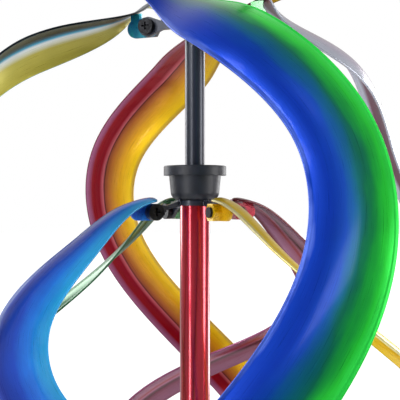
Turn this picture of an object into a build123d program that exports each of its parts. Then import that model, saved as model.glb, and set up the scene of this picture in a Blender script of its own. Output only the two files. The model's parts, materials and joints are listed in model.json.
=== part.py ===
"""Garden wind spinner: two counter-rotating ribbon cages on one staked shaft.

Millimetres, +Z up.  The origin is on the pole's axis at ground level.
"""
from build123d import *
from math import cos, pi, radians, sin
import os

# ---- driving dimensions: heights above the ground ----
centre_height = 1310.0
outer_half_height = 310.0
inner_half_height = 160.0
pole_gap = 70.0
shaft_engagement = 100.0
spike_depth = 250.0
prong_depth = 180.0

# ---- driving dimensions: rotors ----
outer_radius = 240.0
inner_radius = 192.0
blade_count = 4
outer_blade_width = 50.0
inner_blade_width = 40.0
blade_tip_width = 13.0
blade_thickness = 1.2
blade_arch = 0.13
outer_taper_places = (0.035, 0.150)
inner_taper_places = (-0.100, 0.360)
outer_roll_peak = 24.0
inner_roll = -50.0
inner_roll_power = 3
outer_sections = 17
inner_sections = 13
outer_first_azimuth = 67.0
inner_first_azimuth = 30.0
outer_sweep = 38.0
inner_sweep = 108.0
outer_bolt_radius = 41.0
inner_bolt_radius = 38.0

# ---- driving dimensions: shaft, sleeve and pole ----
shaft_diameter = 16.0
shaft_overrun = 30.0
sleeve_diameter = 24.0
sleeve_wall = 1.5
sleeve_overrun = 8.0
pole_diameter = 25.0
pole_wall = 1.5

# ---- driving dimensions: hubs, lugs and fasteners ----
hub_wall = 3.0
outer_hub_height = 20.0
inner_hub_height = 4.0
paddle_thickness = 3.0
outer_paddle_radii = (8.0, 3.4)
inner_paddle_radii = (6.4, 1.8)
paddle_flare = 1.6
outer_arm_drop = 0.0
inner_arm_drop = 7.0
lug_thickness = 2.0
outer_lug_radius = 8.0
inner_lug_radius = 6.5
lug_reach = 12.0
outer_neck_rise = 12.0
inner_neck_rise = 8.0
neck_width = 10.0
bolt_diameter = 8.0
bolt_head_diameter = 13.0
bolt_head_height = 4.6
recess_width = 1.5
recess_length = 6.6
recess_depth = 2.2
nut_across_flats = 13.0
nut_height = 6.5
bolt_overrun = 2.0

# ---- driving dimensions: cup, bushes, collars, cap ----
cup_flange_overhang = 4.2
cup_flange_thickness = 7.6
cup_draft = 1.3
cup_base_overhang = 7.5
cup_body_height = 20.0
cup_recess_diameter = 32.0
cup_recess_depth = 9.0
cup_base_fillet = 7.0
cup_rim_fillet = 1.2
bush_wall = 2.0
bush_flange_overhang = 1.5
bush_flange_thickness = 2.0
bush_length = 18.0
collar_diameter = 30.0
collar_height = 12.0
collar_edge_fillet = 1.0
set_screw_diameter = 5.0
set_screw_inset = 1.0
cap_diameter = 28.0
cap_height = 22.0
cap_skirt = 14.0
cap_crown_fillet = 7.0

# ---- driving dimensions: reducer and ground fork ----
reducer_flange_height = 8.0
reducer_length = 90.0
reducer_edge_fillet = 2.0
cross_screw_diameter = 5.0
cross_screw_drop = 25.0
cross_screw_overrun = 1.0
cross_head_height = 3.5
cross_nut_height = 4.0
cross_across_flats = 8.0
spigot_height = 75.0
spike_diameter = 12.0
prong_diameter = 8.0
prong_spacing = 55.0
prong_point_length = 25.0
spike_point_length = 40.0
step_bar_width = 25.0
step_bar_thickness = 5.0
step_bar_overhang = 10.0
step_bar_corner = 4.0
point_radius = 0.5

# ---- clearances ----
running_clearance = 0.05
fit_clearance = 0.02
thrust_gap = 0.4
hole_clearance = 0.2

# Blade centre lines, upper half, as (height, radius, azimuth from the blade's middle in degrees).
# The radius runs from 0 at the lug's outer end to 1 at the cage's widest.  The height is in
# millimetres above the hub for an end station, and a share of the half height for the others.
# The lower half is the same curve turned half a turn about the radial line through its middle.
outer_end_stations = [
    (34.1, 0.2556, -70.0),
    (20.5, 0.0631, -40.0),
    (6.2, 0.0480, -19.0),
]
outer_stations = [
    (0.900, 0.4096, 14.0),
    (0.700, 0.7176, 29.0),
    (0.447, 0.9102, 26.5),
    (0.176, 0.9872, 12.5),
]
inner_end_stations = [
    (8.8, -0.1087, -55.0),
    (3.2, 0.0535, -53.0),
]
inner_stations = [
    (0.850, 0.3240, -49.0),
    (0.555, 0.7296, -41.0),
    (0.315, 0.9324, -28.0),
]

outer_colours = ["red_orange", "teal_olive", "blue_green", "mauve_silver"]
inner_colours = ["red", "green", "blue", "yellow"]

os.makedirs("parts", exist_ok=True)


def save(piece, name):
    """Label a finished piece and write it as one STEP file."""
    piece.label = name
    export_step(piece, f"parts/{name}.step")


def polar(radius, azimuth, height):
    """Point at a radius and an azimuth in degrees about the pole's axis."""
    return Vector(radius * cos(radians(azimuth)), radius * sin(radians(azimuth)), height)


def radial_plane(height, azimuth):
    """Upright plane through the axis: x runs outward, y up, and the normal clockwise."""
    return Plane(origin=(0, 0, height), x_dir=polar(1, azimuth, 0), z_dir=polar(1, azimuth - 90, 0))


def centre_line(end_stations, stations, bolt_radius, radius, half_height, middle_azimuth):
    """Smooth line through the stations, the middle and the half-turned stations."""
    seat_radius = bolt_radius + lug_reach
    places = [(half_height + rise, share, turn) for rise, share, turn in end_stations]
    places += [(half_height * rise, share, turn) for rise, share, turn in stations]
    upper = []
    lower = []
    for rise, share, turn in places:
        reach = seat_radius + share * (radius - seat_radius)
        upper.append(polar(reach, middle_azimuth + turn, centre_height + rise))
        lower.insert(0, polar(reach, middle_azimuth - turn, centre_height - rise))
    return Spline(*upper, polar(radius, middle_azimuth, centre_height), *lower)


def section_plane(line, place, radius, half_height, roll):
    """Plane across a blade: x runs over its width and y out of its convex face."""
    point = line @ place
    along = line % place
    outward = Vector(point.X / radius**2, point.Y / radius**2, (point.Z - centre_height) / half_height**2)
    face = (outward - along * outward.dot(along)).normalized()
    across = face.cross(along)
    rolled = across * cos(radians(roll)) + face * sin(radians(roll))
    return Plane(origin=point, x_dir=rolled, z_dir=along)


def blade_width(place, full_width, taper_places):
    """Width at a place, from the narrow tip to full width between two places of the taper."""
    start, end = taper_places
    from_tip = min(place, 1 - place)
    step = min(max((from_tip - start) / (end - start), 0), 1)
    return blade_tip_width + (full_width - blade_tip_width) * step**2 * (3 - 2 * step)


def make_blade(line, radius, half_height, full_width, taper_places, roll_at, sections):
    """Arched ribbon of even thickness, lofted through sections along its centre line."""
    with BuildPart() as blade:
        for index in range(sections):
            place = index / (sections - 1)
            width = blade_width(place, full_width, taper_places)
            rise = blade_arch * width
            with BuildSketch(section_plane(line, place, radius, half_height, roll_at(place))):
                with BuildLine():
                    ThreePointArc((-width / 2, 0), (0, rise), (width / 2, 0))
                    Line((width / 2, 0), (width / 2, -blade_thickness))
                    ThreePointArc(
                        (width / 2, -blade_thickness),
                        (0, rise - blade_thickness),
                        (-width / 2, -blade_thickness),
                    )
                    Line((-width / 2, -blade_thickness), (-width / 2, 0))
                make_face()
        loft()
    return blade.part


def make_hub(height, bolt_height, first_azimuth, bore_diameter, ring_height, bolt_radius, paddle_radii):
    """Ring with four slender arms, each flattened to a paddle with a hole for its blade's screw."""
    ring_radius = bore_diameter / 2 + hub_wall
    end_radius, root_radius = paddle_radii
    slope = (bolt_height - height) / (bolt_radius - ring_radius)
    neck_place = bolt_radius - paddle_flare * end_radius
    stages = [
        (ring_radius - hub_wall / 2, 0, root_radius),
        (neck_place, slope * (neck_place - ring_radius), root_radius),
        (bolt_radius, bolt_height - height, end_radius),
    ]
    with BuildPart() as hub:
        with BuildSketch(Plane.XY.offset(height - ring_height / 2)):
            Circle(ring_radius)
        extrude(amount=ring_height)
        for number in range(blade_count):
            plane = radial_plane(height, first_azimuth + number * 360 / blade_count)
            for near, far in zip(stages, stages[1:]):
                with BuildSketch(plane.offset(-paddle_thickness)):
                    for place, rise, radius in (near, far):
                        with Locations((place, rise)):
                            Circle(radius)
                    make_hull()
                extrude(amount=paddle_thickness)
            with BuildSketch(plane.offset(-paddle_thickness)):
                with Locations((bolt_radius, bolt_height - height)):
                    Circle(bolt_diameter / 2 + hole_clearance)
            extrude(amount=paddle_thickness, mode=Mode.SUBTRACT)
        with BuildSketch(Plane.XY.offset(height - ring_height / 2)):
            Circle(bore_diameter / 2)
        extrude(amount=ring_height, mode=Mode.SUBTRACT)
    return hub.part


def make_lugs(heights, azimuths, bolt_radius, lug_radius, neck_rise):
    """Rounded plates beside the paddles, each with a neck that carries the blade."""
    with BuildPart() as lugs:
        for height, azimuth, side in zip(heights, azimuths, (1, -1)):
            plane = radial_plane(height, azimuth)
            with BuildSketch(plane):
                with Locations((bolt_radius + lug_reach / 2, 0)):
                    SlotCenterToCenter(lug_reach, 2 * lug_radius)
                with Locations((bolt_radius + lug_reach, side * neck_rise / 2)):
                    Rectangle(neck_width, neck_rise)
                with Locations((bolt_radius, 0)):
                    Circle(bolt_diameter / 2 + hole_clearance, mode=Mode.SUBTRACT)
            extrude(amount=lug_thickness)
    return lugs.part


def make_screws(height, first_azimuth, bolt_radius):
    """Pan-head screws with a cross recess, heads on the paddles' side."""
    shank_length = paddle_thickness + lug_thickness + nut_height + bolt_overrun
    with BuildPart() as screws:
        for number in range(blade_count):
            plane = radial_plane(height, first_azimuth + number * 360 / blade_count)
            head = plane.offset(-paddle_thickness - bolt_head_height)
            with BuildSketch(plane.offset(-paddle_thickness)):
                with Locations((bolt_radius, 0)):
                    Circle(bolt_diameter / 2)
            extrude(amount=shank_length)
            with BuildSketch(head):
                with Locations((bolt_radius, 0)):
                    Circle(bolt_head_diameter / 2)
            extrude(amount=bolt_head_height)
            with BuildSketch(head):
                with Locations((bolt_radius, 0)):
                    Rectangle(recess_length, recess_width)
                    Rectangle(recess_width, recess_length)
            extrude(amount=recess_depth, mode=Mode.SUBTRACT)
    return screws.part


def make_nuts(height, first_azimuth, bolt_radius):
    """Hexagon nuts on the lugs' side."""
    with BuildPart() as nuts:
        for number in range(blade_count):
            plane = radial_plane(height, first_azimuth + number * 360 / blade_count)
            with BuildSketch(plane.offset(lug_thickness)):
                with Locations((bolt_radius, 0)):
                    RegularPolygon(nut_across_flats / 2, 6, major_radius=False)
                    Circle(bolt_diameter / 2 + fit_clearance, mode=Mode.SUBTRACT)
            extrude(amount=nut_height)
    return nuts.part


def make_bush(flange_height, side, spigot_radius):
    """Flanged plain bush on the shaft; its spigot runs from the flange towards side."""
    with BuildPart() as bush:
        with BuildSketch(Plane.XY.offset(flange_height)):
            Circle(bush_flange_diameter / 2)
        extrude(amount=-side * bush_flange_thickness)
        with BuildSketch(Plane.XY.offset(flange_height)):
            Circle(spigot_radius)
        extrude(amount=side * bush_length)
        bore_start = flange_height - side * bush_flange_thickness
        with BuildSketch(Plane.XY.offset(bore_start)):
            Circle(shaft_diameter / 2 + running_clearance)
        extrude(amount=side * (bush_length + bush_flange_thickness), mode=Mode.SUBTRACT)
    return bush.part


def make_collar(top_height):
    """Stop collar round the shaft with a radial hole for its set screw."""
    with BuildPart() as collar:
        with BuildSketch(Plane.XY.offset(top_height - collar_height)):
            Circle(collar_diameter / 2)
            Circle(shaft_diameter / 2 + fit_clearance, mode=Mode.SUBTRACT)
        extrude(amount=collar_height)
        fillet(collar.edges().filter_by(GeomType.CIRCLE).sort_by(SortBy.RADIUS)[-2:], collar_edge_fillet)
        with BuildSketch(Plane.XZ):
            with Locations((0, top_height - collar_height / 2)):
                Circle(set_screw_diameter / 2 + fit_clearance)
        extrude(amount=collar_diameter, mode=Mode.SUBTRACT)
    return collar.part


# ---- places that follow from the sizes ----
outer_top = centre_height + outer_half_height
outer_bottom = centre_height - outer_half_height
pole_top = outer_bottom - pole_gap
shaft_bottom = pole_top - shaft_engagement
inner_top = centre_height + inner_half_height
inner_bottom = centre_height - inner_half_height
sleeve_top = inner_top + sleeve_overrun
sleeve_bottom = inner_bottom - sleeve_overrun
sleeve_bore = sleeve_diameter - 2 * sleeve_wall
cup_base_diameter = sleeve_diameter + 2 * cup_base_overhang
cup_body_diameter = cup_base_diameter + 2 * cup_draft
cup_flange_diameter = cup_body_diameter + 2 * cup_flange_overhang
bush_flange_diameter = sleeve_diameter + 2 * bush_flange_overhang
shaft_top = outer_top + shaft_overrun
outer_bush_radius = shaft_diameter / 2 + bush_wall
inner_bush_radius = sleeve_bore / 2 - fit_clearance
inner_stop_top = sleeve_bottom - bush_flange_thickness - thrust_gap
outer_stop_top = outer_bottom - outer_hub_height / 2 - bush_flange_thickness - thrust_gap
pole_bore = pole_diameter - 2 * pole_wall

# ---- shaft: one steel rod from the pole reducer to the cap ----
with BuildPart() as main_shaft:
    with BuildSketch(Plane.XY.offset(shaft_bottom)):
        Circle(shaft_diameter / 2)
    extrude(amount=shaft_top - shaft_bottom)
    with BuildSketch(Plane.XZ):
        with Locations((0, pole_top - cross_screw_drop)):
            Circle(cross_screw_diameter / 2 + fit_clearance)
    extrude(amount=shaft_diameter, both=True, mode=Mode.SUBTRACT)
save(main_shaft.part, "main_shaft")

# ---- inner rotor's sleeve tube ----
with BuildPart() as red_sleeve:
    with BuildSketch(Plane.XY.offset(sleeve_bottom)):
        Circle(sleeve_diameter / 2)
        Circle(sleeve_bore / 2, mode=Mode.SUBTRACT)
    extrude(amount=sleeve_top - sleeve_bottom)
save(red_sleeve.part, "red_sleeve")

# ---- flanged bearing cup, seated on the sleeve's top end ----
cup_base = sleeve_top
cup_top = cup_base + cup_body_height + cup_flange_thickness
bore_radius = shaft_diameter / 2 + running_clearance
with BuildPart() as bearing_cup:
    with BuildSketch(Plane.XZ):
        with BuildLine():
            Polyline(
                (bore_radius, cup_base - bush_length),
                (inner_bush_radius, cup_base - bush_length),
                (inner_bush_radius, cup_base),
                (cup_base_diameter / 2 - cup_base_fillet, cup_base),
            )
            RadiusArc(
                (cup_base_diameter / 2 - cup_base_fillet, cup_base),
                (cup_base_diameter / 2, cup_base + cup_base_fillet),
                -cup_base_fillet,
            )
            Polyline(
                (cup_base_diameter / 2, cup_base + cup_base_fillet),
                (cup_body_diameter / 2, cup_base + cup_body_height),
                (cup_flange_diameter / 2, cup_base + cup_body_height),
                (cup_flange_diameter / 2, cup_top),
                (cup_recess_diameter / 2, cup_top),
                (cup_recess_diameter / 2, cup_top - cup_recess_depth),
                (bore_radius, cup_top - cup_recess_depth),
                (bore_radius, cup_base - bush_length),
            )
        make_face()
    revolve(axis=Axis.Z)
    fillet(bearing_cup.edges().group_by(Axis.Z)[-1], cup_rim_fillet)
save(bearing_cup.part, "bearing_cup")

# ---- dust shield ring lying in the cup's recess ----
with BuildPart() as cup_shield:
    with BuildSketch(Plane.XY.offset(cup_top - cup_recess_depth)):
        Circle(cup_recess_diameter / 2 - fit_clearance)
        Circle(shaft_diameter / 2 + running_clearance, mode=Mode.SUBTRACT)
    extrude(amount=cup_recess_depth / 2)
save(cup_shield.part, "cup_shield")

# ---- bushes ----
save(make_bush(sleeve_bottom, 1, inner_bush_radius), "inner_lower_bush")
save(make_bush(outer_top + outer_hub_height / 2, -1, outer_bush_radius), "outer_upper_bush")
save(make_bush(outer_bottom - outer_hub_height / 2, 1, outer_bush_radius), "outer_lower_bush")

# ---- stop collars and their set screws ----
save(make_collar(inner_stop_top), "inner_stop_collar")
save(make_collar(outer_stop_top), "outer_stop_collar")
with BuildPart() as collar_set_screws:
    for top in (inner_stop_top, outer_stop_top):
        with BuildSketch(Plane.XZ.offset(shaft_diameter / 2 + fit_clearance)):
            with Locations((0, top - collar_height / 2)):
                Circle(set_screw_diameter / 2)
        extrude(amount=(collar_diameter - shaft_diameter) / 2 - set_screw_inset)
save(collar_set_screws.part, "collar_set_screws")

# ---- hubs, screws and nuts ----
outer_hub_bore = 2 * (outer_bush_radius + fit_clearance)
inner_hub_bore = sleeve_diameter + 2 * fit_clearance
inner_hub_top = sleeve_top - inner_hub_height / 2
inner_hub_bottom = sleeve_bottom + inner_hub_height / 2
outer_last_azimuth = outer_first_azimuth + outer_sweep
inner_last_azimuth = inner_first_azimuth + inner_sweep
outer_bolt_heights = (outer_top - outer_arm_drop, outer_bottom + outer_arm_drop)
inner_bolt_heights = (inner_hub_top - inner_arm_drop, inner_hub_bottom + inner_arm_drop)
outer_fit = (outer_hub_bore, outer_hub_height, outer_bolt_radius, outer_paddle_radii)
inner_fit = (inner_hub_bore, inner_hub_height, inner_bolt_radius, inner_paddle_radii)
hubs = [
    ("outer_upper", outer_top, outer_bolt_heights[0], outer_first_azimuth, outer_fit),
    ("outer_lower", outer_bottom, outer_bolt_heights[1], outer_last_azimuth, outer_fit),
    ("inner_upper", inner_hub_top, inner_bolt_heights[0], inner_first_azimuth, inner_fit),
    ("inner_lower", inner_hub_bottom, inner_bolt_heights[1], inner_last_azimuth, inner_fit),
]
for name, height, bolt_height, azimuth, fit in hubs:
    bolt_radius = fit[2]
    save(make_hub(height, bolt_height, azimuth, *fit), f"{name}_hub")
    save(make_screws(bolt_height, azimuth, bolt_radius), f"{name}_screws")
    save(make_nuts(bolt_height, azimuth, bolt_radius), f"{name}_nuts")

# ---- blades and their end lugs ----
outer_line = centre_line(
    outer_end_stations,
    outer_stations,
    outer_bolt_radius,
    outer_radius,
    outer_half_height,
    outer_first_azimuth + outer_sweep / 2,
)
inner_line = centre_line(
    inner_end_stations,
    inner_stations,
    inner_bolt_radius,
    inner_radius,
    inner_half_height,
    inner_first_azimuth + inner_sweep / 2,
)
outer_blade = make_blade(
    outer_line,
    outer_radius,
    outer_half_height,
    outer_blade_width,
    outer_taper_places,
    lambda place: outer_roll_peak * sin(2 * pi * place),
    outer_sections,
)
inner_blade = make_blade(
    inner_line,
    inner_radius,
    inner_half_height,
    inner_blade_width,
    inner_taper_places,
    lambda place: inner_roll * (1 - abs(2 * place - 1) ** inner_roll_power),
    inner_sections,
)
for number in range(blade_count):
    turn = number * 360 / blade_count
    save(outer_blade.rotate(Axis.Z, turn), f"outer_blade_{outer_colours[number]}")
    save(inner_blade.rotate(Axis.Z, turn), f"inner_blade_{inner_colours[number]}")
    outer_azimuths = (outer_first_azimuth + turn, outer_last_azimuth + turn)
    inner_azimuths = (inner_first_azimuth + turn, inner_last_azimuth + turn)
    outer_seat = (outer_bolt_radius, outer_lug_radius, outer_neck_rise)
    inner_seat = (inner_bolt_radius, inner_lug_radius, inner_neck_rise)
    outer_lugs = make_lugs(outer_bolt_heights, outer_azimuths, *outer_seat)
    inner_lugs = make_lugs(inner_bolt_heights, inner_azimuths, *inner_seat)
    save(outer_lugs, f"outer_lugs_{outer_colours[number]}")
    save(inner_lugs, f"inner_lugs_{inner_colours[number]}")

# ---- cap on the shaft's top end ----
with BuildPart() as top_cap:
    cap_base = shaft_top - cap_skirt
    with BuildSketch(Plane.XY.offset(cap_base)):
        Circle(cap_diameter / 2)
    extrude(amount=cap_height)
    fillet(top_cap.edges().group_by(Axis.Z)[-1], cap_crown_fillet)
    with BuildSketch(Plane.XY.offset(cap_base)):
        Circle(shaft_diameter / 2 + fit_clearance)
    extrude(amount=cap_skirt, mode=Mode.SUBTRACT)
save(top_cap.part, "top_cap")

# ---- lower pole and the reducer in its top end ----
with BuildPart() as lower_pole:
    with BuildSketch(Plane.XY.offset(step_bar_thickness)):
        Circle(pole_diameter / 2)
        Circle(pole_bore / 2, mode=Mode.SUBTRACT)
    extrude(amount=pole_top - step_bar_thickness)
    with BuildSketch(Plane.XZ):
        with Locations((0, pole_top - cross_screw_drop), (0, step_bar_thickness + cross_screw_drop)):
            Circle(cross_screw_diameter / 2 + fit_clearance)
    extrude(amount=pole_diameter, both=True, mode=Mode.SUBTRACT)
save(lower_pole.part, "lower_pole")

with BuildPart() as pole_reducer:
    with BuildSketch(Plane.XY.offset(pole_top)):
        Circle(pole_diameter / 2)
    extrude(amount=reducer_flange_height)
    fillet(pole_reducer.edges().group_by(Axis.Z)[-1], reducer_edge_fillet)
    with BuildSketch(Plane.XY.offset(pole_top)):
        Circle(pole_bore / 2 - fit_clearance)
    extrude(amount=-reducer_length)
    with BuildSketch(Plane.XY.offset(pole_top - reducer_length)):
        Circle(shaft_diameter / 2 + fit_clearance)
    extrude(amount=reducer_length + reducer_flange_height, mode=Mode.SUBTRACT)
    with BuildSketch(Plane.XZ):
        with Locations((0, pole_top - cross_screw_drop)):
            Circle(cross_screw_diameter / 2 + fit_clearance)
    extrude(amount=pole_diameter, both=True, mode=Mode.SUBTRACT)
save(pole_reducer.part, "pole_reducer")

# ---- cross screws with hexagon heads, and their nuts ----
cross_heights = (pole_top - cross_screw_drop, step_bar_thickness + cross_screw_drop)
cross_screw_end = pole_diameter / 2 + cross_nut_height + cross_screw_overrun
with BuildPart() as pole_screws:
    for height in cross_heights:
        with BuildSketch(Plane.XZ.offset(-cross_screw_end)):
            with Locations((0, height)):
                Circle(cross_screw_diameter / 2)
        extrude(amount=cross_screw_end + pole_diameter / 2)
        with BuildSketch(Plane.XZ.offset(pole_diameter / 2)):
            with Locations((0, height)):
                RegularPolygon(cross_across_flats / 2, 6, major_radius=False)
        extrude(amount=cross_head_height)
save(pole_screws.part, "pole_screws")

with BuildPart() as pole_nuts:
    for height in cross_heights:
        with BuildSketch(Plane.XZ.offset(-pole_diameter / 2 - cross_nut_height)):
            with Locations((0, height)):
                RegularPolygon(cross_across_flats / 2, 6, major_radius=False)
                Circle(cross_screw_diameter / 2 + fit_clearance, mode=Mode.SUBTRACT)
        extrude(amount=cross_nut_height)
save(pole_nuts.part, "pole_nuts")

# ---- ground fork: spigot, step bar, centre spike and two prongs ----
with BuildPart() as ground_fork:
    with BuildSketch(Plane.XY.offset(step_bar_thickness)):
        Circle(pole_bore / 2 - fit_clearance)
    extrude(amount=spigot_height)
    with BuildSketch(Plane.XY):
        RectangleRounded(2 * (prong_spacing + step_bar_overhang), step_bar_width, step_bar_corner)
    extrude(amount=step_bar_thickness)
    with BuildSketch(Plane.XY):
        Circle(spike_diameter / 2)
    extrude(amount=-(spike_depth - spike_point_length))
    with BuildSketch(Plane.XY):
        with Locations((prong_spacing, 0), (-prong_spacing, 0)):
            Circle(prong_diameter / 2)
    extrude(amount=-(prong_depth - prong_point_length))
    with Locations(Plane.XY.offset(-(spike_depth - spike_point_length / 2))):
        Cone(point_radius, spike_diameter / 2, spike_point_length)
    with Locations(Plane.XY.offset(-(prong_depth - prong_point_length / 2))):
        with Locations((prong_spacing, 0), (-prong_spacing, 0)):
            Cone(point_radius, prong_diameter / 2, prong_point_length)
    with BuildSketch(Plane.XZ):
        with Locations((0, step_bar_thickness + cross_screw_drop)):
            Circle(cross_screw_diameter / 2 + fit_clearance)
    extrude(amount=pole_diameter, both=True, mode=Mode.SUBTRACT)
save(ground_fork.part, "ground_fork")
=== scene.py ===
import json
import math
import bpy
import numpy as np
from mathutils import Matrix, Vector


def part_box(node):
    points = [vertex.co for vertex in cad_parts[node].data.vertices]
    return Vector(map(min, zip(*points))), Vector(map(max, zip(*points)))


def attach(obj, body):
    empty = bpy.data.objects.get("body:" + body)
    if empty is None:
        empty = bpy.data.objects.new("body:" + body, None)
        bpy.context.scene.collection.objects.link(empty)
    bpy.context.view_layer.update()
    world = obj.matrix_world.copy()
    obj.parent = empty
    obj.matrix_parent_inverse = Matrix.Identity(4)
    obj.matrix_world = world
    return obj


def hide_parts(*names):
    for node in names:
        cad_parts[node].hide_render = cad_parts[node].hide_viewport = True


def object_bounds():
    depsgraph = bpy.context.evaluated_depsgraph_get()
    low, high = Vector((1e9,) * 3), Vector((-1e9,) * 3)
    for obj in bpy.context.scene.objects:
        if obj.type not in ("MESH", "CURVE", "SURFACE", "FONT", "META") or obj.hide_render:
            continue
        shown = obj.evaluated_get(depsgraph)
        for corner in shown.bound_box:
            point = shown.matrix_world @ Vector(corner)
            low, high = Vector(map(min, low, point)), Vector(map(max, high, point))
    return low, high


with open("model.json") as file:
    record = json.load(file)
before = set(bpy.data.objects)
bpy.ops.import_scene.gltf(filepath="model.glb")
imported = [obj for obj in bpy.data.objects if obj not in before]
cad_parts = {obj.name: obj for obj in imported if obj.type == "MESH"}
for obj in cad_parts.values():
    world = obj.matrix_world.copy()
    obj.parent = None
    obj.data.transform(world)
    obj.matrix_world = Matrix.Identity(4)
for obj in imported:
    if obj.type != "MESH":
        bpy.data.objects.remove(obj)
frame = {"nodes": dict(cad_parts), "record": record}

cad_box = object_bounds()
nodes = frame["nodes"]
MM = 0.001

# ---- sizes that the blades share with their CAD solids ----
# A station is (height, share of the reach from lug to full radius, azimuth from the blade's middle).
# End stations are that high past the hub; the others' heights are shares of the half height.
blade_thickness = 1.2 * MM
blade_arch = 0.13
tip_width = 13 * MM
lug_reach = 12 * MM
middle_height = sum(corner.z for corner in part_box("outer_blade_red_orange")) / 2
outer = {
    "radius": 240 * MM, "half_height": 310 * MM, "bolt_radius": 41 * MM, "width": 50 * MM,
    "first_azimuth": 67.0, "sweep": 38.0, "taper": (0.035, 0.150),
    "roll": lambda place: 24.0 * math.sin(2 * math.pi * place),
    "end_stations": [(34.1 * MM, 0.2556, -70.0), (20.5 * MM, 0.0631, -40.0),
                     (6.2 * MM, 0.0480, -19.0)],
    "stations": [(0.900, 0.4096, 14.0), (0.700, 0.7176, 29.0), (0.447, 0.9102, 26.5),
                 (0.176, 0.9872, 12.5)],
}
inner = {
    "radius": 192 * MM, "half_height": 160 * MM, "bolt_radius": 38 * MM, "width": 40 * MM,
    "first_azimuth": 30.0, "sweep": 108.0, "taper": (-0.100, 0.360),
    "roll": lambda place: -50.0 * (1 - abs(2 * place - 1) ** 3),
    "end_stations": [(8.8 * MM, -0.1087, -55.0), (3.2 * MM, 0.0535, -53.0)],
    "stations": [(0.850, 0.3240, -49.0), (0.555, 0.7296, -41.0), (0.315, 0.9324, -28.0)],
}


# ---- colours and nodes ----
def linear(hex_colour):
    """sRGB hex, such as "#1E8FFF", as linear RGBA."""
    parts = [int(hex_colour[i:i + 2], 16) / 255 for i in (1, 3, 5)]
    return [c / 12.92 if c <= 0.04045 else ((c + 0.055) / 1.055) ** 2.4 for c in parts] + [1.0]


def add(tree, kind, settings=None, inputs=None):
    """Adds a node and returns it.

    Settings are its properties, with "stops" for a colour ramp's (position, hex colour) pairs.
    Inputs are plain values, sockets, or nodes whose first output is meant.
    """
    node = tree.nodes.new(kind)
    for name, value in (settings or {}).items():
        if name == "stops":
            bar = node.color_ramp
            while len(bar.elements) > 1:
                bar.elements.remove(bar.elements[-1])
            bar.elements[0].position, bar.elements[0].color = value[0][0], linear(value[0][1])
            for position, colour in value[1:]:
                bar.elements.new(position).color = linear(colour)
        else:
            setattr(node, name, value)
    for name, value in (inputs or {}).items():
        if isinstance(value, bpy.types.Node):
            value = value.outputs[0]
        if isinstance(value, bpy.types.NodeSocket):
            tree.links.new(value, node.inputs[name])
        else:
            node.inputs[name].default_value = value
    return node


def new_material(name):
    """Empty material; returns it, its tree and the piece's own coordinates, in metres."""
    material = bpy.data.materials.new(name)
    material.use_nodes = True
    tree = material.node_tree
    tree.nodes.clear()
    return material, tree, add(tree, "ShaderNodeTexCoord").outputs["Object"]


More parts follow.
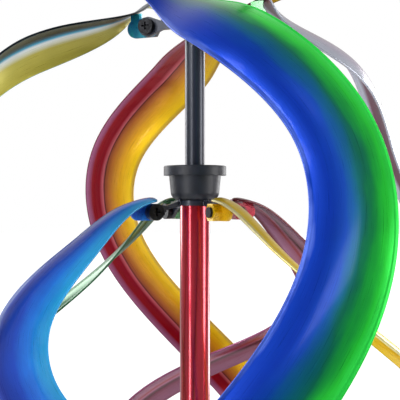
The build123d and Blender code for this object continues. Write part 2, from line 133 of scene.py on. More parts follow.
def airbrushed_enamel(name, convex, concave, clear_coat):
    """Translucent enamel airbrushed over ground sheet steel, baked and clear-coated.

    The eye sees colour fading from edge to edge in soft strokes, some bands being painted
    highlights, reflections and shade, fine grinding lines along the blade under the colour,
    painted shade darkening the blade towards its ends and a gloss on top.
    """
    # an airbrush stroke is some 55 mm long and covers a quarter of the blade's width
    stroke_length, stroke_share = 55.56 * MM, 0.25
    cloud_size = 22.22 * MM
    # 80-grit lines are 0.2 mm apart and flakes 0.05 mm wide. Both are drawn as coarse as they need
    # to show: 83 lines across a 50 mm blade are 0.6 mm apart, and the flakes are 0.4 mm.
    line_length, lines_across = 40 * MM, 83
    flakes_per_mm = 2.6
    material, tree, place = new_material(name)
    uv = add(tree, "ShaderNodeUVMap", {"uv_map": "ribbon"})
    across = add(tree, "ShaderNodeSeparateXYZ", {}, {0: uv}).outputs[1]
    stroke_place = add(tree, "ShaderNodeMapping", {}, {
        "Vector": uv, "Scale": (1 / stroke_length, 1 / stroke_share, 1.0)})
    strokes = add(tree, "ShaderNodeTexNoise", {}, {
        "Vector": stroke_place, "Scale": 1.0, "Detail": 3.0, "Roughness": 0.55})
    # the convex face is sprayed freely; the concave one is masked first, so its bands are crisp
    faces = []
    for stops, wander in ((convex, 0.26), (concave, 0.04)):
        drift = add(tree, "ShaderNodeMath", {"operation": "MULTIPLY_ADD"}, {
            0: strokes, 1: wander, 2: -wander / 2})
        band = add(tree, "ShaderNodeMath", {"operation": "ADD"}, {0: across, 1: drift})
        faces.append(add(tree, "ShaderNodeValToRGB", {"stops": stops}, {"Fac": band}))
    inside = add(tree, "ShaderNodeAttribute", {"attribute_name": "inside"}).outputs["Fac"]
    colour = add(tree, "ShaderNodeMix", {"data_type": "RGBA"}, {0: inside, 6: faces[0], 7: faces[1]})
    line_place = add(tree, "ShaderNodeMapping", {}, {
        "Vector": uv, "Scale": (1 / line_length, lines_across, 1.0)})
    grinding = add(tree, "ShaderNodeTexNoise", {}, {
        "Vector": line_place, "Scale": 1.0, "Detail": 4.0, "Roughness": 0.65})
    cloud = add(tree, "ShaderNodeTexNoise", {}, {
        "Vector": place, "Scale": 1 / cloud_size, "Detail": 4.0, "Roughness": 0.6})
    # painted shade: the colour is darkened to 60% towards the blade's ends
    from_end = add(tree, "ShaderNodeAttribute", {"attribute_name": "from_end"}).outputs["Fac"]
    ends = add(tree, "ShaderNodeMapRange", {}, {
        "Value": from_end, "From Min": 0.10, "From Max": 0.34, "To Min": 0.60, "To Max": 1.0})
    shade = add(tree, "ShaderNodeMath", {"operation": "MULTIPLY_ADD"}, {0: grinding, 1: 0.36, 2: 0.80})
    uneven = add(tree, "ShaderNodeMath", {"operation": "MULTIPLY_ADD"}, {0: cloud, 1: 0.30, 2: 0.85})
    for layer in (uneven, ends):
        shade = add(tree, "ShaderNodeMath", {"operation": "MULTIPLY"}, {0: shade, 1: layer})
    painted = add(tree, "ShaderNodeMix", {"data_type": "RGBA", "blend_type": "MULTIPLY"}, {
        0: 1.0, 6: colour.outputs[2], 7: shade})
    flake = add(tree, "ShaderNodeTexNoise", {}, {
        "Vector": place, "Scale": flakes_per_mm / MM, "Detail": 1.0, "Roughness": 0.5})
    relief = add(tree, "ShaderNodeMath", {"operation": "MULTIPLY_ADD"}, {0: flake, 1: 0.5, 2: grinding})
    shader = add(tree, "ShaderNodeBsdfPrincipled", {}, {
        "Base Color": painted.outputs[2], "Metallic": 0.38,
        "Roughness": add(tree, "ShaderNodeMath", {"operation": "MULTIPLY_ADD"}, {
            0: grinding, 1: 0.20, 2: 0.20}),
        "Normal": add(tree, "ShaderNodeBump", {}, {
            "Height": relief, "Distance": 0.06 * MM, "Strength": 0.5}),
        "Specular IOR Level": 1.25 * clear_coat, "Coat Weight": clear_coat, "Coat Roughness": 0.10})
    add(tree, "ShaderNodeOutputMaterial", {}, {"Surface": shader})
    return material


def lug_enamel(name, low, high):
    """The blade's enamel where it runs on over the welded lug: thicker, pooled and dimpled."""
    cloud_size = 11.11 * MM
    dimples_per_mm = 0.9
    material, tree, place = new_material(name)
    cloud = add(tree, "ShaderNodeTexNoise", {}, {
        "Vector": place, "Scale": 1 / cloud_size, "Detail": 4.0, "Roughness": 0.6})
    dimples = add(tree, "ShaderNodeTexNoise", {}, {
        "Vector": place, "Scale": dimples_per_mm / MM, "Detail": 3.0, "Roughness": 0.6})
    shader = add(tree, "ShaderNodeBsdfPrincipled", {}, {
        "Base Color": add(tree, "ShaderNodeValToRGB", {"stops": [(0.35, low), (0.65, high)]}, {
            "Fac": cloud}),
        "Metallic": 0.45,
        "Roughness": add(tree, "ShaderNodeMath", {"operation": "MULTIPLY_ADD"}, {
            0: dimples, 1: 0.25, 2: 0.18}),
        "Normal": add(tree, "ShaderNodeBump", {}, {
            "Height": dimples, "Distance": 0.25 * MM, "Strength": 0.6}),
        "Coat Weight": 0.8, "Coat Roughness": 0.08})
    add(tree, "ShaderNodeOutputMaterial", {}, {"Surface": shader})
    return material


def powder_coat(name, base, worn):
    """Satin polyester powder coat on steel: fine orange peel and faint patches rubbed by hands."""
    # a rubbed patch is about a palm high and two fingers wide
    patch_width, patch_height = 28.57 * MM, 114.3 * MM
    bumps_per_mm = 1.4
    material, tree, place = new_material(name)
    patch_place = add(tree, "ShaderNodeMapping", {}, {
        "Vector": place, "Scale": (1 / patch_width, 1 / patch_width, 1 / patch_height)})
    rubbed = add(tree, "ShaderNodeTexNoise", {}, {
        "Vector": patch_place, "Scale": 1.0, "Detail": 5.0, "Roughness": 0.6})
    peel = add(tree, "ShaderNodeTexNoise", {}, {
        "Vector": place, "Scale": bumps_per_mm / MM, "Detail": 2.0, "Roughness": 0.5})
    shader = add(tree, "ShaderNodeBsdfPrincipled", {}, {
        "Base Color": add(tree, "ShaderNodeValToRGB", {"stops": [(0.42, base), (0.75, worn)]}, {
            "Fac": rubbed}),
        "Metallic": 0.35,
        "Roughness": add(tree, "ShaderNodeMath", {"operation": "MULTIPLY_ADD"}, {
            0: peel, 1: 0.14, 2: 0.27}),
        "Normal": add(tree, "ShaderNodeBump", {}, {
            "Height": peel, "Distance": 0.08 * MM, "Strength": 0.5}),
        "Coat Weight": 0.25, "Coat Roughness": 0.25})
    add(tree, "ShaderNodeOutputMaterial", {}, {"Surface": shader})
    return material


def candy_red(name):
    """Candy red lacquer over drawn and polished steel tube.

    The eye sees deep red where the lacquer is thick, faint drawing marks along the tube and a
    sparkle of flake under a glass-smooth coat.
    """
    mark_width, mark_length = 1.389 * MM, 69.44 * MM
    # a flake is 0.05 mm wide; it is drawn as coarse as it needs to show
    flakes_per_mm = 3
    material, tree, place = new_material(name)
    mark_place = add(tree, "ShaderNodeMapping", {}, {
        "Vector": place, "Scale": (1 / mark_width, 1 / mark_width, 1 / mark_length)})
    drawn = add(tree, "ShaderNodeTexNoise", {}, {
        "Vector": mark_place, "Scale": 1.0, "Detail": 4.0, "Roughness": 0.6})
    flake = add(tree, "ShaderNodeTexNoise", {}, {
        "Vector": place, "Scale": flakes_per_mm / MM, "Detail": 1.0, "Roughness": 0.5})
    reds = [(0.30, "#98041C"), (0.55, "#C00A2A"), (0.80, "#D42040")]
    shader = add(tree, "ShaderNodeBsdfPrincipled", {}, {
        "Base Color": add(tree, "ShaderNodeValToRGB", {"stops": reds}, {"Fac": drawn}),
        "Metallic": 0.75,
        "Roughness": add(tree, "ShaderNodeMath", {"operation": "MULTIPLY_ADD"}, {
            0: flake, 1: 0.12, 2: 0.16}),
        "Normal": add(tree, "ShaderNodeBump", {}, {
            "Height": flake, "Distance": 0.04 * MM, "Strength": 0.4}),
        "Coat Weight": 1.0, "Coat Roughness": 0.15})
    add(tree, "ShaderNodeOutputMaterial", {}, {"Surface": shader})
    return material


def moulded_plastic(name, dark, light):
    """Black UV-stabilised polypropylene from a spark-eroded mould: matte, dusty, a soft sheen."""
    dust_size = 14.286 * MM
    # spark erosion leaves pits of 0.05 mm; they are drawn as coarse as they need to show
    pits_per_mm = 2.2
    material, tree, place = new_material(name)
    dust = add(tree, "ShaderNodeTexNoise", {}, {
        "Vector": place, "Scale": 1 / dust_size, "Detail": 5.0, "Roughness": 0.65})
    pits = add(tree, "ShaderNodeTexNoise", {}, {
        "Vector": place, "Scale": pits_per_mm / MM, "Detail": 2.0, "Roughness": 0.6})
    shader = add(tree, "ShaderNodeBsdfPrincipled", {}, {
        "Base Color": add(tree, "ShaderNodeValToRGB", {"stops": [(0.45, dark), (0.80, light)]}, {
            "Fac": dust}),
        "Roughness": add(tree, "ShaderNodeMath", {"operation": "MULTIPLY_ADD"}, {
            0: pits, 1: 0.2, 2: 0.36}),
        "Normal": add(tree, "ShaderNodeBump", {}, {
            "Height": pits, "Distance": 0.06 * MM, "Strength": 0.7})})
    add(tree, "ShaderNodeOutputMaterial", {}, {"Surface": shader})
    return material


def bare_metal(name, dark, light, roughness, metallic=1.0):
    """Turned, plated or oiled metal: fine machining marks round the piece, a slightly uneven tone."""
    # the tool leaves a mark each 0.1 mm along the piece
    tone_size, mark_length = 3.846 * MM, 0.909 * MM
    marks_per_mm = 9.9
    material, tree, place = new_material(name)
    tone = add(tree, "ShaderNodeTexNoise", {}, {
        "Vector": place, "Scale": 1 / tone_size, "Detail": 4.0, "Roughness": 0.6})
    mark_place = add(tree, "ShaderNodeMapping", {}, {
        "Vector": place, "Scale": (1 / mark_length, 1 / mark_length, marks_per_mm / MM)})
    marks = add(tree, "ShaderNodeTexNoise", {}, {
        "Vector": mark_place, "Scale": 1.0, "Detail": 2.0, "Roughness": 0.5})
    shader = add(tree, "ShaderNodeBsdfPrincipled", {}, {
        "Base Color": add(tree, "ShaderNodeValToRGB", {"stops": [(0.35, dark), (0.70, light)]}, {
            "Fac": tone}),
        "Metallic": metallic,
        "Roughness": add(tree, "ShaderNodeMath", {"operation": "MULTIPLY_ADD"}, {
            0: marks, 1: 0.2, 2: roughness}),
        "Normal": add(tree, "ShaderNodeBump", {}, {
            "Height": marks, "Distance": 0.05 * MM, "Strength": 0.5})})
    add(tree, "ShaderNodeOutputMaterial", {}, {"Surface": shader})
    return material


def painted_nuts(name, quarters):
    """Nuts sprayed over together with the blade they hold, thick enamel rounding their corners.

    The colour goes by quarter turns about the pole: each stop is where a quarter starts.
    """
    dimples_per_mm = 0.7
    material, tree, place = new_material(name)
    x, y, _ = add(tree, "ShaderNodeSeparateXYZ", {}, {0: place}).outputs
    angle = add(tree, "ShaderNodeMath", {"operation": "ARCTAN2"}, {0: y, 1: x})
    turn = add(tree, "ShaderNodeMath", {"operation": "MULTIPLY_ADD"}, {
        0: angle, 1: 0.5 / math.pi, 2: 0.5})
    colour = add(tree, "ShaderNodeValToRGB", {"stops": quarters}, {"Fac": turn})
    colour.color_ramp.interpolation = "CONSTANT"
    dimples = add(tree, "ShaderNodeTexNoise", {}, {
        "Vector": place, "Scale": dimples_per_mm / MM, "Detail": 3.0, "Roughness": 0.6})
    shade = add(tree, "ShaderNodeMath", {"operation": "MULTIPLY_ADD"}, {0: dimples, 1: 0.7, 2: 0.6})
    painted = add(tree, "ShaderNodeMix", {"data_type": "RGBA", "blend_type": "MULTIPLY"}, {
        0: 1.0, 6: colour, 7: shade})
    shader = add(tree, "ShaderNodeBsdfPrincipled", {}, {
        "Base Color": painted.outputs[2], "Metallic": 0.3,
        "Roughness": add(tree, "ShaderNodeMath", {"operation": "MULTIPLY_ADD"}, {
            0: dimples, 1: 0.25, 2: 0.16}),
        "Normal": add(tree, "ShaderNodeBump", {}, {
            "Height": dimples, "Distance": 0.4 * MM, "Strength": 0.7}),
        "Coat Weight": 0.7, "Coat Roughness": 0.10})
    add(tree, "ShaderNodeOutputMaterial", {}, {"Surface": shader})
    return material


finishes = {
    "charcoal_steel": powder_coat("charcoal_powder_coat", "#232734", "#383D4C"),
    "red_candy_steel": candy_red("candy_red_lacquer"),
    "black_plastic": moulded_plastic("black_polypropylene", "#0D101A", "#222736"),
    "bronze_bush": bare_metal("oiled_bronze", "#6B4520", "#A87B3C", 0.30),
    "zinc_steel": bare_metal("zinc_plate", "#8C9094", "#C4C7CA", 0.26),
    "black_oxide_steel": bare_metal("black_oxide", "#0B0B0D", "#2A2B2F", 0.28, 0.8),
}
# Blade colours as (convex, concave) bands, from the edge nearer the shaft's foot (0) across (1);
# besides paint, some bands are painted highlights, reflections and shade, as noted at each blade.
blade_colours_and_painted_light = {
    "outer_red_orange": (
        [(0.03, "#C9A23C"), (0.10, "#D8A800"), (0.45, "#C8600C"), (0.72, "#96101A"), (0.95, "#66000E")],
        # concave face: the dark line at 0.635 is painted shade in a crease, the pink at 0.655-0.70 a
        # painted highlight on its ridge, and the mauve at 0.93-0.99 a painted sheen
        [(0.00, "#B8923C"), (0.07, "#ECC000"), (0.32, "#D89A0C"), (0.54, "#B4642A"), (0.615, "#94422A"),
         (0.635, "#3A0A0A"), (0.655, "#C46068"), (0.70, "#A83A48"), (0.73, "#8A0018"), (0.88, "#900012"),
         (0.93, "#96466A"), (0.99, "#A8648C")],
    ),
    "outer_teal_olive": (
        [(0.05, "#0B8E8A"), (0.45, "#0A6470"), (0.80, "#05303A"), (0.97, "#03161C")],
        # concave face: the white at 0.47-0.54 and the cyan at 0.60 are painted highlights; the olive is the
        # yellow paint in painted shade with a painted green reflection
        [(0.05, "#C2B84C"), (0.36, "#B6AC48"), (0.47, "#D4D8C8"), (0.54, "#DCE4E4"), (0.60, "#2AA0C8"),
         (0.66, "#0C5A78"), (0.74, "#041C24"), (0.97, "#02101A")],
    ),
    "outer_blue_green": (
        # the periwinkle rim at 0.00 of the convex face is a painted highlight where the edge catches light
        [(0.00, "#4A68D0"), (0.05, "#0038B0"), (0.22, "#0032A6"), (0.38, "#003C9C"), (0.52, "#0A5A80"),
         (0.64, "#0E6C52"), (0.74, "#1A9C40"), (0.86, "#26CC38"), (0.97, "#2EDC4C")],
        [(0.05, "#0A40BC"), (0.40, "#0C5E94"), (0.70, "#1A9058"), (0.95, "#28C84E")],
    ),
    "outer_mauve_silver": (
        # these bands are painted light: the silver stops are a painted reflection of the white
        # surroundings, the dark purple ones painted shade and the mauve ones a painted reflection on red
        [(0.05, "#B4B8C6"), (0.30, "#A092A8"), (0.60, "#6A2C4C"), (0.80, "#8A4A70"), (0.95, "#A86A90")],
        [(0.05, "#A8708F"), (0.35, "#9A5C80"), (0.55, "#582038"), (0.80, "#6A3048"), (0.90, "#B4B8C8")],
    ),
    "inner_red": (
        # the mauve stops on both faces are painted reflection; on the concave face the dark line at 0.42 is
        # painted shade in a crease and the pink at 0.50 a painted highlight on its ridge
        [(0.05, "#7A0A24"), (0.45, "#8C1028"), (0.75, "#7A3050"), (0.97, "#9A4A78")],
        [(0.02, "#8A5570"), (0.30, "#763650"), (0.42, "#42091A"), (0.50, "#94506E"), (0.58, "#86081C"),
         (0.64, "#8A3E5C"), (0.86, "#9C6484"), (0.97, "#70081C")],
    ),
    "inner_green": (
        # the pale sage at 0.03-0.30 of the convex face is a painted highlight
        [(0.03, "#8FB294"), (0.30, "#5E9A6A"), (0.55, "#2F7A3E"), (0.97, "#1E5A32")],
        [(0.05, "#235E36"), (0.50, "#2F7A38"), (0.95, "#5E9A6A")],
    ),
    "inner_blue": (
        # the lilac rim at 0.00 of the convex face is a painted highlight
        [(0.00, "#98A6DC"), (0.06, "#2A44AC"), (0.14, "#082C96"), (0.40, "#0C48C4"), (0.66, "#1680F0"),
         (0.92, "#2AB4FA")],
        [(0.05, "#0A3AAA"), (0.50, "#1470E0"), (0.95, "#2FB4F8")],
    ),
    "inner_yellow": (
        # the pale rims at 0.00 and 0.99 of the convex face are painted highlights along both edges
        [(0.00, "#F0E4A8"), (0.08, "#F4CC00"), (0.55, "#F0C400"), (0.92, "#DCA800"), (0.99, "#F0D870")],
        [(0.02, "#F4DC70"), (0.10, "#F4C800"), (0.60, "#F0C400"), (0.95, "#F0C818")],
    ),
}
# blades whose clear coat was laid thinner than the usual one
usual_coat = 0.40
clear_coats = {"outer_blue_green": 0.12, "outer_teal_olive": 0.15, "outer_red_orange": 0.18,
               "inner_yellow": 0.12}
lug_paints = {
    "outer_red_orange": ("#B84A10", "#D88A10"), "outer_teal_olive": ("#0B5A9C", "#0E8A98"),
    "outer_blue_green": ("#0A3CB0", "#0E6AA8"), "outer_mauve_silver": ("#16803A", "#36C052"),
    "inner_red": ("#8A0A22", "#B01834"), "inner_green": ("#2A6A38", "#4A9450"),
    "inner_blue": ("#0A4AC8", "#1E8FFF"), "inner_yellow": ("#C89600", "#E8BC10"),
}


# ---- blades ----
def polar(radius, azimuth, height):
    """Point at a radius and an azimuth in degrees about the pole's axis."""
    turn = math.radians(azimuth)
    return np.array([radius * math.cos(turn), radius * math.sin(turn), height])


def smooth_line(points):
    """Cubic spline through points, with the chord length as its parameter, from 0 to 1."""
    knots = np.concatenate([[0], np.cumsum(np.linalg.norm(np.diff(points, axis=0), axis=1))])
    knots /= knots[-1]
    step = np.diff(knots)
    count = len(knots)
    system, right = np.zeros((count, count)), np.zeros((count, 3))
    for i in range(1, count - 1):
        system[i, i - 1:i + 2] = step[i - 1], 2 * (step[i - 1] + step[i]), step[i]
        right[i] = 6 * ((points[i + 1] - points[i]) / step[i] - (points[i] - points[i - 1]) / step[i - 1])
    system[0, :3] = step[1], -(step[0] + step[1]), step[0]
    system[-1, -3:] = step[-1], -(step[-2] + step[-1]), step[-2]
    bend = np.linalg.solve(system, right)

    def at(place):
        i = int(np.clip(np.searchsorted(knots, place) - 1, 0, count - 2))
        a, b = (knots[i + 1] - place) / step[i], (place - knots[i]) / step[i]
        curved = (a**3 - a) * bend[i] + (b**3 - b) * bend[i + 1]
        return a * points[i] + b * points[i + 1] + curved * step[i] ** 2 / 6

    return at


def centre_line(shape):
    """The blade's centre line: stations, middle, and the stations turned half a turn."""
    radius, half_height = shape["radius"], shape["half_height"]
    seat = shape["bolt_radius"] + lug_reach
    azimuth = shape["first_azimuth"] + shape["sweep"] / 2
    places = [(half_height + rise, share, turn) for rise, share, turn in shape["end_stations"]]
    places += [(half_height * rise, share, turn) for rise, share, turn in shape["stations"]]
    upper, lower = [], []
    for rise, share, turn in places:
        reach = seat + share * (radius - seat)
        upper.append(polar(reach, azimuth + turn, middle_height + rise))
        lower.insert(0, polar(reach, azimuth - turn, middle_height - rise))
    return smooth_line(np.array(upper + [polar(radius, azimuth, middle_height)] + lower))


rim_radius = 1.1 * MM
rim_turns = [math.radians(turn) for turn in (65, 35, 0, -35, -65)]
face_points = 27
blade_sections = 260
end_share = 0.25


def blade_profile(width):
    """Loop round the section: (across, out, share of width, inside) from edge to edge and back."""
    shares = np.linspace(0, 1, face_points)
    rise = blade_arch * width * (1 - (2 * shares - 1) ** 2)
    reach = width / 2 - rim_radius
    top = [((2 * s - 1) * reach, y, s, 0.0) for s, y in zip(shares, rise)]
    under = [((2 * s - 1) * reach, y - blade_thickness, s, 1.0) for s, y in zip(shares, rise)][::-1]
    middle = -blade_thickness / 2
    right = [(reach + rim_radius * math.cos(t), middle + rim_radius * math.sin(t), 1.0, 0.0)
             for t in rim_turns]
    left = [(-x, 2 * middle - y, 0.0, 0.0) for x, y, _, _ in right]
    return top + right + under + left


def make_blade(name, shape, turn, material):
    """Blade with a rolled rim and round ends; UV holds metres along and share of the width."""
    at = centre_line(shape)
    places = np.linspace(0.0, 1.0, blade_sections)
    path = np.array([at(p) for p in places])
    steps = np.linalg.norm(np.diff(path, axis=0), axis=1)
    length = np.concatenate([[0], np.cumsum(steps)])
    along = np.gradient(path, axis=0)
    along /= np.linalg.norm(along, axis=1)[:, None]
    rings, flags, uvs = [], [], []
    for i, place in enumerate(places):
        point, forward = path[i], along[i]
        squash = np.array([shape["radius"], shape["radius"], shape["half_height"]])
        outward = (point - [0, 0, middle_height]) / squash**2
        outward -= forward * outward.dot(forward)
        outward /= np.linalg.norm(outward)
        across = np.cross(outward, forward)
        roll = math.radians(shape["roll"](place))
        side = across * math.cos(roll) + outward * math.sin(roll)
        out = np.cross(forward, side)
        start, end = shape["taper"]
        step = min(max((min(place, 1 - place) - start) / (end - start), 0.0), 1.0)
        width = tip_width + (shape["width"] - tip_width) * step**2 * (3 - 2 * step)
        to_end = min(length[i], length[-1] - length[i])
        round_off = min(1.0, to_end / (tip_width / 2))
        width *= max(end_share, math.sqrt(1 - (1 - round_off) ** 2))
        loop = blade_profile(width)
        rings.append([point + side * x + out * y for x, y, _, _ in loop])
        flags.append([inside for _, _, _, inside in loop])
        uvs.append([(length[i], share) for _, _, share, _ in loop])
    size = len(rings[0])
    rotation = math.radians(turn)
    spin = np.array([[math.cos(rotation), -math.sin(rotation), 0],
                     [math.sin(rotation), math.cos(rotation), 0], [0, 0, 1]])
    vertices = (np.array(rings).reshape(-1, 3) @ spin.T).tolist()
    faces = []
    for i in range(blade_sections - 1):
        for j in range(size):
            k = (j + 1) % size
            faces.append((i * size + j, (i + 1) * size + j, (i + 1) * size + k, i * size + k))
    faces.append(tuple(range(size)))
    faces.append(tuple((blade_sections - 1) * size + j for j in reversed(range(size))))
    mesh = bpy.data.meshes.new(name)
    mesh.from_pydata(vertices, [], faces)
    mesh.attributes.new("inside", "FLOAT", "POINT").data.foreach_set("value", np.ravel(flags))
    nearest = np.minimum(length, length[-1] - length) / (length[-1] / 2)
    mesh.attributes.new("from_end", "FLOAT", "POINT").data.foreach_set("value", np.repeat(nearest, size))
    layer = mesh.uv_layers.new(name="ribbon")
    flat = [pair for ring in uvs for pair in ring]
    for loop_item, target in zip(mesh.loops, layer.data):
        target.uv = flat[loop_item.vertex_index]
    mesh.polygons.foreach_set("use_smooth", [True] * len(mesh.polygons))
    mesh.materials.append(material)
    piece = bpy.data.objects.new(name, mesh)
    bpy.context.scene.collection.objects.link(piece)
    return piece


for key, (convex, concave) in blade_colours_and_painted_light.items():
    cage, colour = key.split("_", 1)
    node_name = f"{cage}_blade_{colour}"
    quarter = [k for k in blade_colours_and_painted_light if k.startswith(cage)].index(key)
    paint = airbrushed_enamel(f"enamel_{key}", convex, concave, clear_coats.get(key, usual_coat))
    blade = make_blade(f"ribbon_{key}", outer if cage == "outer" else inner, 90 * quarter, paint)
    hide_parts(node_name)
    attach(blade, f"{cage}_rotor")
    finishes[f"{key}_paint"] = lug_enamel(f"lug_enamel_{key}", *lug_paints[key])

# ---- thread ends and weld beads, by Geometry Nodes ----
def new_tree(name, sizes):
    """Geometry tree with a mesh input, a named input for each size and a mesh output."""
    tree = bpy.data.node_groups.new(name, "GeometryNodeTree")
    tree.interface.new_socket("Geometry", in_out="INPUT", socket_type="NodeSocketGeometry")
    for size in sizes:
        kind = "NodeSocketInt" if size in ("Count", "Seed") else "NodeSocketFloat"
        tree.interface.new_socket(size, in_out="INPUT", socket_type=kind)
    tree.interface.new_socket("Geometry", in_out="OUTPUT", socket_type="NodeSocketGeometry")
    return tree, add(tree, "NodeGroupInput").outputs


def place_and_finish(tree, points, piece, material):
    """Puts the piece on each point along the point's axis, as one real mesh with its material."""
    axis = add(tree, "GeometryNodeInputNamedAttribute", {"data_type": "FLOAT_VECTOR"}, {"Name": "axis"})
    turned = add(tree, "FunctionNodeAlignRotationToVector", {"axis": "Z"}, {"Vector": axis})
    placed = add(tree, "GeometryNodeInstanceOnPoints", {}, {
        "Points": points, "Instance": piece, "Rotation": turned})
    real = add(tree, "GeometryNodeRealizeInstances", {}, {0: placed})
    painted = add(tree, "GeometryNodeSetMaterial", {}, {"Geometry": real, "Material": material})
    add(tree, "NodeGroupOutput", {}, {0: painted})


def thread_tree(material):
    """Rolled thread standing out of a nut: a ridge wound round each screw's end."""
    tree, given = new_tree("thread_ends", ["Radius", "Pitch", "Turns"])
    height = add(tree, "ShaderNodeMath", {"operation": "MULTIPLY"}, {
        0: given["Pitch"], 1: given["Turns"]})
    winding = add(tree, "GeometryNodeCurveSpiral", {}, {
        "Resolution": 20, "Rotations": given["Turns"], "Start Radius": given["Radius"],
        "End Radius": given["Radius"], "Height": height})
    ridge_radius = add(tree, "ShaderNodeMath", {"operation": "MULTIPLY"}, {0: given["Pitch"], 1: 0.28})
    ridge = add(tree, "GeometryNodeCurvePrimitiveCircle", {}, {"Resolution": 6, "Radius": ridge_radius})
    wound = add(tree, "GeometryNodeCurveToMesh", {}, {
        "Curve": winding, "Profile Curve": ridge, "Fill Caps": True})
    place_and_finish(tree, given["Geometry"], wound.outputs[0], material)
    return tree


def weld_tree(material):
    """Weld bead round each arm's root: overlapping uneven drops of metal."""
    tree, given = new_tree("weld_beads", ["Radius", "Drop", "Count", "Seed"])
    path = add(tree, "GeometryNodeCurvePrimitiveCircle", {}, {"Resolution": 32, "Radius": given["Radius"]})
    stops = add(tree, "GeometryNodeResampleCurve", {}, {"Curve": path, "Count": given["Count"]})
    drop = add(tree, "GeometryNodeMeshIcoSphere", {}, {"Subdivisions": 2, "Radius": given["Drop"]})
    uneven = add(tree, "FunctionNodeRandomValue", {"data_type": "FLOAT"}, {
        2: 0.75, 3: 1.25, "Seed": given["Seed"]})
    bead = add(tree, "GeometryNodeInstanceOnPoints", {}, {
        "Points": stops, "Instance": drop, "Scale": uneven.outputs[1]})
    real = add(tree, "GeometryNodeRealizeInstances", {}, {0: bead})
    place_and_finish(tree, given["Geometry"], real.outputs[0], material)
    return tree


def make_by_tree(name, tree, points, sizes, body):
    """Runs a tree over (place, axis) points and keeps its result as a plain mesh."""
    mesh = bpy.data.meshes.new(name)
    mesh.from_pydata([place for place, _ in points], [], [])
    mesh.attributes.new("axis", "FLOAT_VECTOR", "POINT").data.foreach_set(
        "vector", np.ravel([axis for _, axis in points]))
    piece = bpy.data.objects.new(name, mesh)
    bpy.context.scene.collection.objects.link(piece)
    modifier = piece.modifiers.new(name, "NODES")
    modifier.node_group = tree
    for item in tree.interface.items_tree:
        if item.in_out == "INPUT" and item.name in sizes:
            modifier[item.identifier] = sizes[item.name]
    evaluated = piece.evaluated_get(bpy.context.evaluated_depsgraph_get())
    made = bpy.data.meshes.new_from_object(evaluated)
    piece.modifiers.remove(modifier)
    piece.data = made
    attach(piece, body)


paddle_thickness = 3 * MM
nut_face = 8.5 * MM
sleeve_foot, sleeve_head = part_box("red_sleeve")
ring_half_height = 2 * MM
thread_sizes = {"Radius": 3.9 * MM, "Pitch": 1.25 * MM, "Turns": 1.3}
cages = {
    "outer": {"shape": outer, "root_radius": 13.0 * MM, "bead_radius": 3.9 * MM,
              "rings": (middle_height + outer["half_height"], middle_height - outer["half_height"]),
              "arm_drop": 0.0},
    "inner": {"shape": inner, "root_radius": 15.0 * MM, "bead_radius": 2.3 * MM,
              "rings": (sleeve_head.z - ring_half_height, sleeve_foot.z + ring_half_height),
              "arm_drop": 7 * MM},
}
threads = thread_tree(finishes["black_oxide_steel"])
welds = weld_tree(finishes["charcoal_steel"])
for cage, fit in cages.items():
    ends, roots = [], []
    first = fit["shape"]["first_azimuth"]
    for ring, azimuth, side in zip(fit["rings"], (first, first + fit["shape"]["sweep"]), (1, -1)):
        for quarter in range(4):
            outward = polar(1.0, azimuth + 90 * quarter, 0.0)
            clockwise = polar(1.0, azimuth + 90 * quarter - 90, 0.0)
            level = np.array([0.0, 0.0, ring])
            bolt = level - [0, 0, side * fit["arm_drop"]] + outward * fit["shape"]["bolt_radius"]
            ends.append((bolt + clockwise * nut_face, clockwise))
            roots.append((level + outward * fit["root_radius"] - clockwise * paddle_thickness / 2, outward))
    make_by_tree(f"thread_ends_{cage}", threads, ends, thread_sizes, f"{cage}_rotor")
    bead_sizes = {"Radius": fit["bead_radius"], "Drop": 0.8 * MM, "Count": 16, "Seed": 7}
    make_by_tree(f"weld_beads_{cage}", welds, roots, bead_sizes, f"{cage}_rotor")

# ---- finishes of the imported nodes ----
nut_paint = painted_nuts("enamelled_nuts", [
    (0.0, "#0C48C4"), (0.208, "#DCAE00"), (0.458, "#8A0A22"), (0.708, "#2F7A3E"), (0.958, "#0C48C4")])
for entry in frame["record"]["subparts"]:
    slots = nodes[entry["node"]].data.materials
    material = finishes[entry["material_slot"]]
    if entry["node"] in ("inner_upper_nuts", "inner_lower_nuts"):
        material = nut_paint
    if len(slots):
        for index in range(len(slots)):
            slots[index] = material
    else:
        slots.append(material)

# ---- camera ----
camera_aside = 0.004
camera_distance = 0.64
camera_height = 1.4784
focal_length, sensor_width = 72, 36
lens_data = bpy.data.cameras.new("camera")
lens_data.lens = focal_length
lens_data.sensor_width = sensor_width
lens_data.clip_start, lens_data.clip_end = 0.01, 100
camera = bpy.data.objects.new("camera", lens_data)
camera.location = (camera_aside, -camera_distance, camera_height)
camera.rotation_euler = (math.radians(90), 0, 0)
bpy.context.scene.collection.objects.link(camera)
bpy.context.scene.camera = camera

# ---- floor, studio sky and softboxes ----
floor_reach = 40.0
floor_level = cad_box[0].z
floor_mesh = bpy.data.meshes.new("studio_floor")
floor_mesh.from_pydata([(-floor_reach, -floor_reach, floor_level), (floor_reach, -floor_reach, floor_level),
                        (floor_reach, floor_reach, floor_level), (-floor_reach, floor_reach, floor_level)],
                       [], [(0, 1, 2, 3)])
floor = bpy.data.objects.new("studio_floor", floor_mesh)
bpy.context.scene.collection.objects.link(floor)
# white paper that is lit from below, so that it meets the white sweep without an edge
floor_material, floor_tree, _ = new_material("pale_floor")
floor_seen = add(floor_tree, "ShaderNodeLightPath").outputs["Is Camera Ray"]
floor_glow = add(floor_tree, "ShaderNodeMath", {"operation": "MULTIPLY"}, {0: floor_seen, 1: 0.75})
paper = add(floor_tree, "ShaderNodeBsdfPrincipled", {}, {
    "Base Color": linear("#F4F4F4"), "Roughness": 0.9, "Emission Color": linear("#FFFFFF"),
    "Emission Strength": floor_glow})
add(floor_tree, "ShaderNodeOutputMaterial", {}, {"Surface": paper})
floor_mesh.materials.append(floor_material)

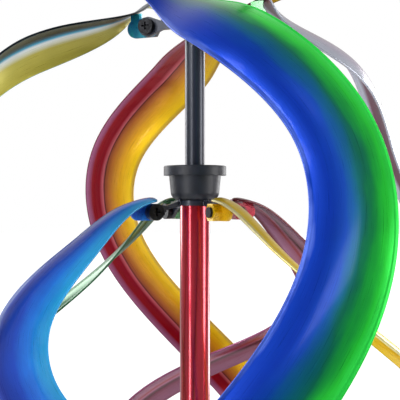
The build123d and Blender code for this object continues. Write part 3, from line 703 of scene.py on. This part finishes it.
# A white sweep stands behind the spinner; the room in front of it is dim.
world = bpy.data.worlds.new("studio_sky")
bpy.context.scene.world = world
world.use_nodes = True
sky = world.node_tree
sky.nodes.clear()
direction = add(sky, "ShaderNodeTexCoord").outputs["Generated"]
_, behind, up = add(sky, "ShaderNodeSeparateXYZ", {}, {0: direction}).outputs
back_stops = [(0.20, "#34363C"), (0.42, "#50525A"), (0.60, "#A4A6AC"), (0.85, "#E8E8E8")]
top_stops = [(0.50, "#000000"), (0.62, "#2A2A2C"), (0.95, "#B0B0B0")]
tones = []
for way, stops in ((behind, back_stops), (up, top_stops)):
    share = add(sky, "ShaderNodeMath", {"operation": "MULTIPLY_ADD"}, {0: way, 1: 0.5, 2: 0.5})
    tones.append(add(sky, "ShaderNodeValToRGB", {"stops": stops}, {"Fac": share}))
tone_sum = add(sky, "ShaderNodeMix", {"data_type": "RGBA", "blend_type": "ADD"}, {
    0: 1.0, 6: tones[0], 7: tones[1]})
lit = add(sky, "ShaderNodeBackground", {}, {"Color": tone_sum.outputs[2], "Strength": 0.8})
seen = add(sky, "ShaderNodeBackground", {}, {"Color": (1, 1, 1, 1), "Strength": 1.0})
camera_ray = add(sky, "ShaderNodeLightPath").outputs["Is Camera Ray"]
both = add(sky, "ShaderNodeMixShader", {}, {0: camera_ray, 1: lit, 2: seen})
add(sky, "ShaderNodeOutputWorld", {}, {"Surface": both})


def softbox(name, place, aim, width, height, power):
    """Rectangular area light at place, facing aim."""
    data = bpy.data.lights.new(name, "AREA")
    data.shape, data.size, data.size_y, data.energy = "RECTANGLE", width, height, power
    lamp = bpy.data.objects.new(name, data)
    lamp.location = place
    lamp.rotation_euler = (Vector(aim) - Vector(place)).to_track_quat("-Z", "Y").to_euler()
    bpy.context.scene.collection.objects.link(lamp)


rotor_middle = (0, 0, middle_height)
softbox("key_softbox", (-2.6, -1.5, 3.0), rotor_middle, 1.6, 1.2, 52)
softbox("strip_softbox", (-1.55, -1.9, 1.45), rotor_middle, 0.16, 2.4, 24)
softbox("fill_softbox", (3.0, -0.7, 1.7), rotor_middle, 0.9, 1.8, 46)
softbox("front_softbox", (0.3, -2.6, 3.6), rotor_middle, 1.6, 0.6, 20)
softbox("back_left_softbox", (-2.2, 1.8, 2.2), rotor_middle, 1.2, 2.0, 40)
softbox("back_right_softbox", (2.0, 2.2, 1.6), rotor_middle, 1.2, 2.0, 40)
bpy.context.scene.view_settings.view_transform = "Standard"
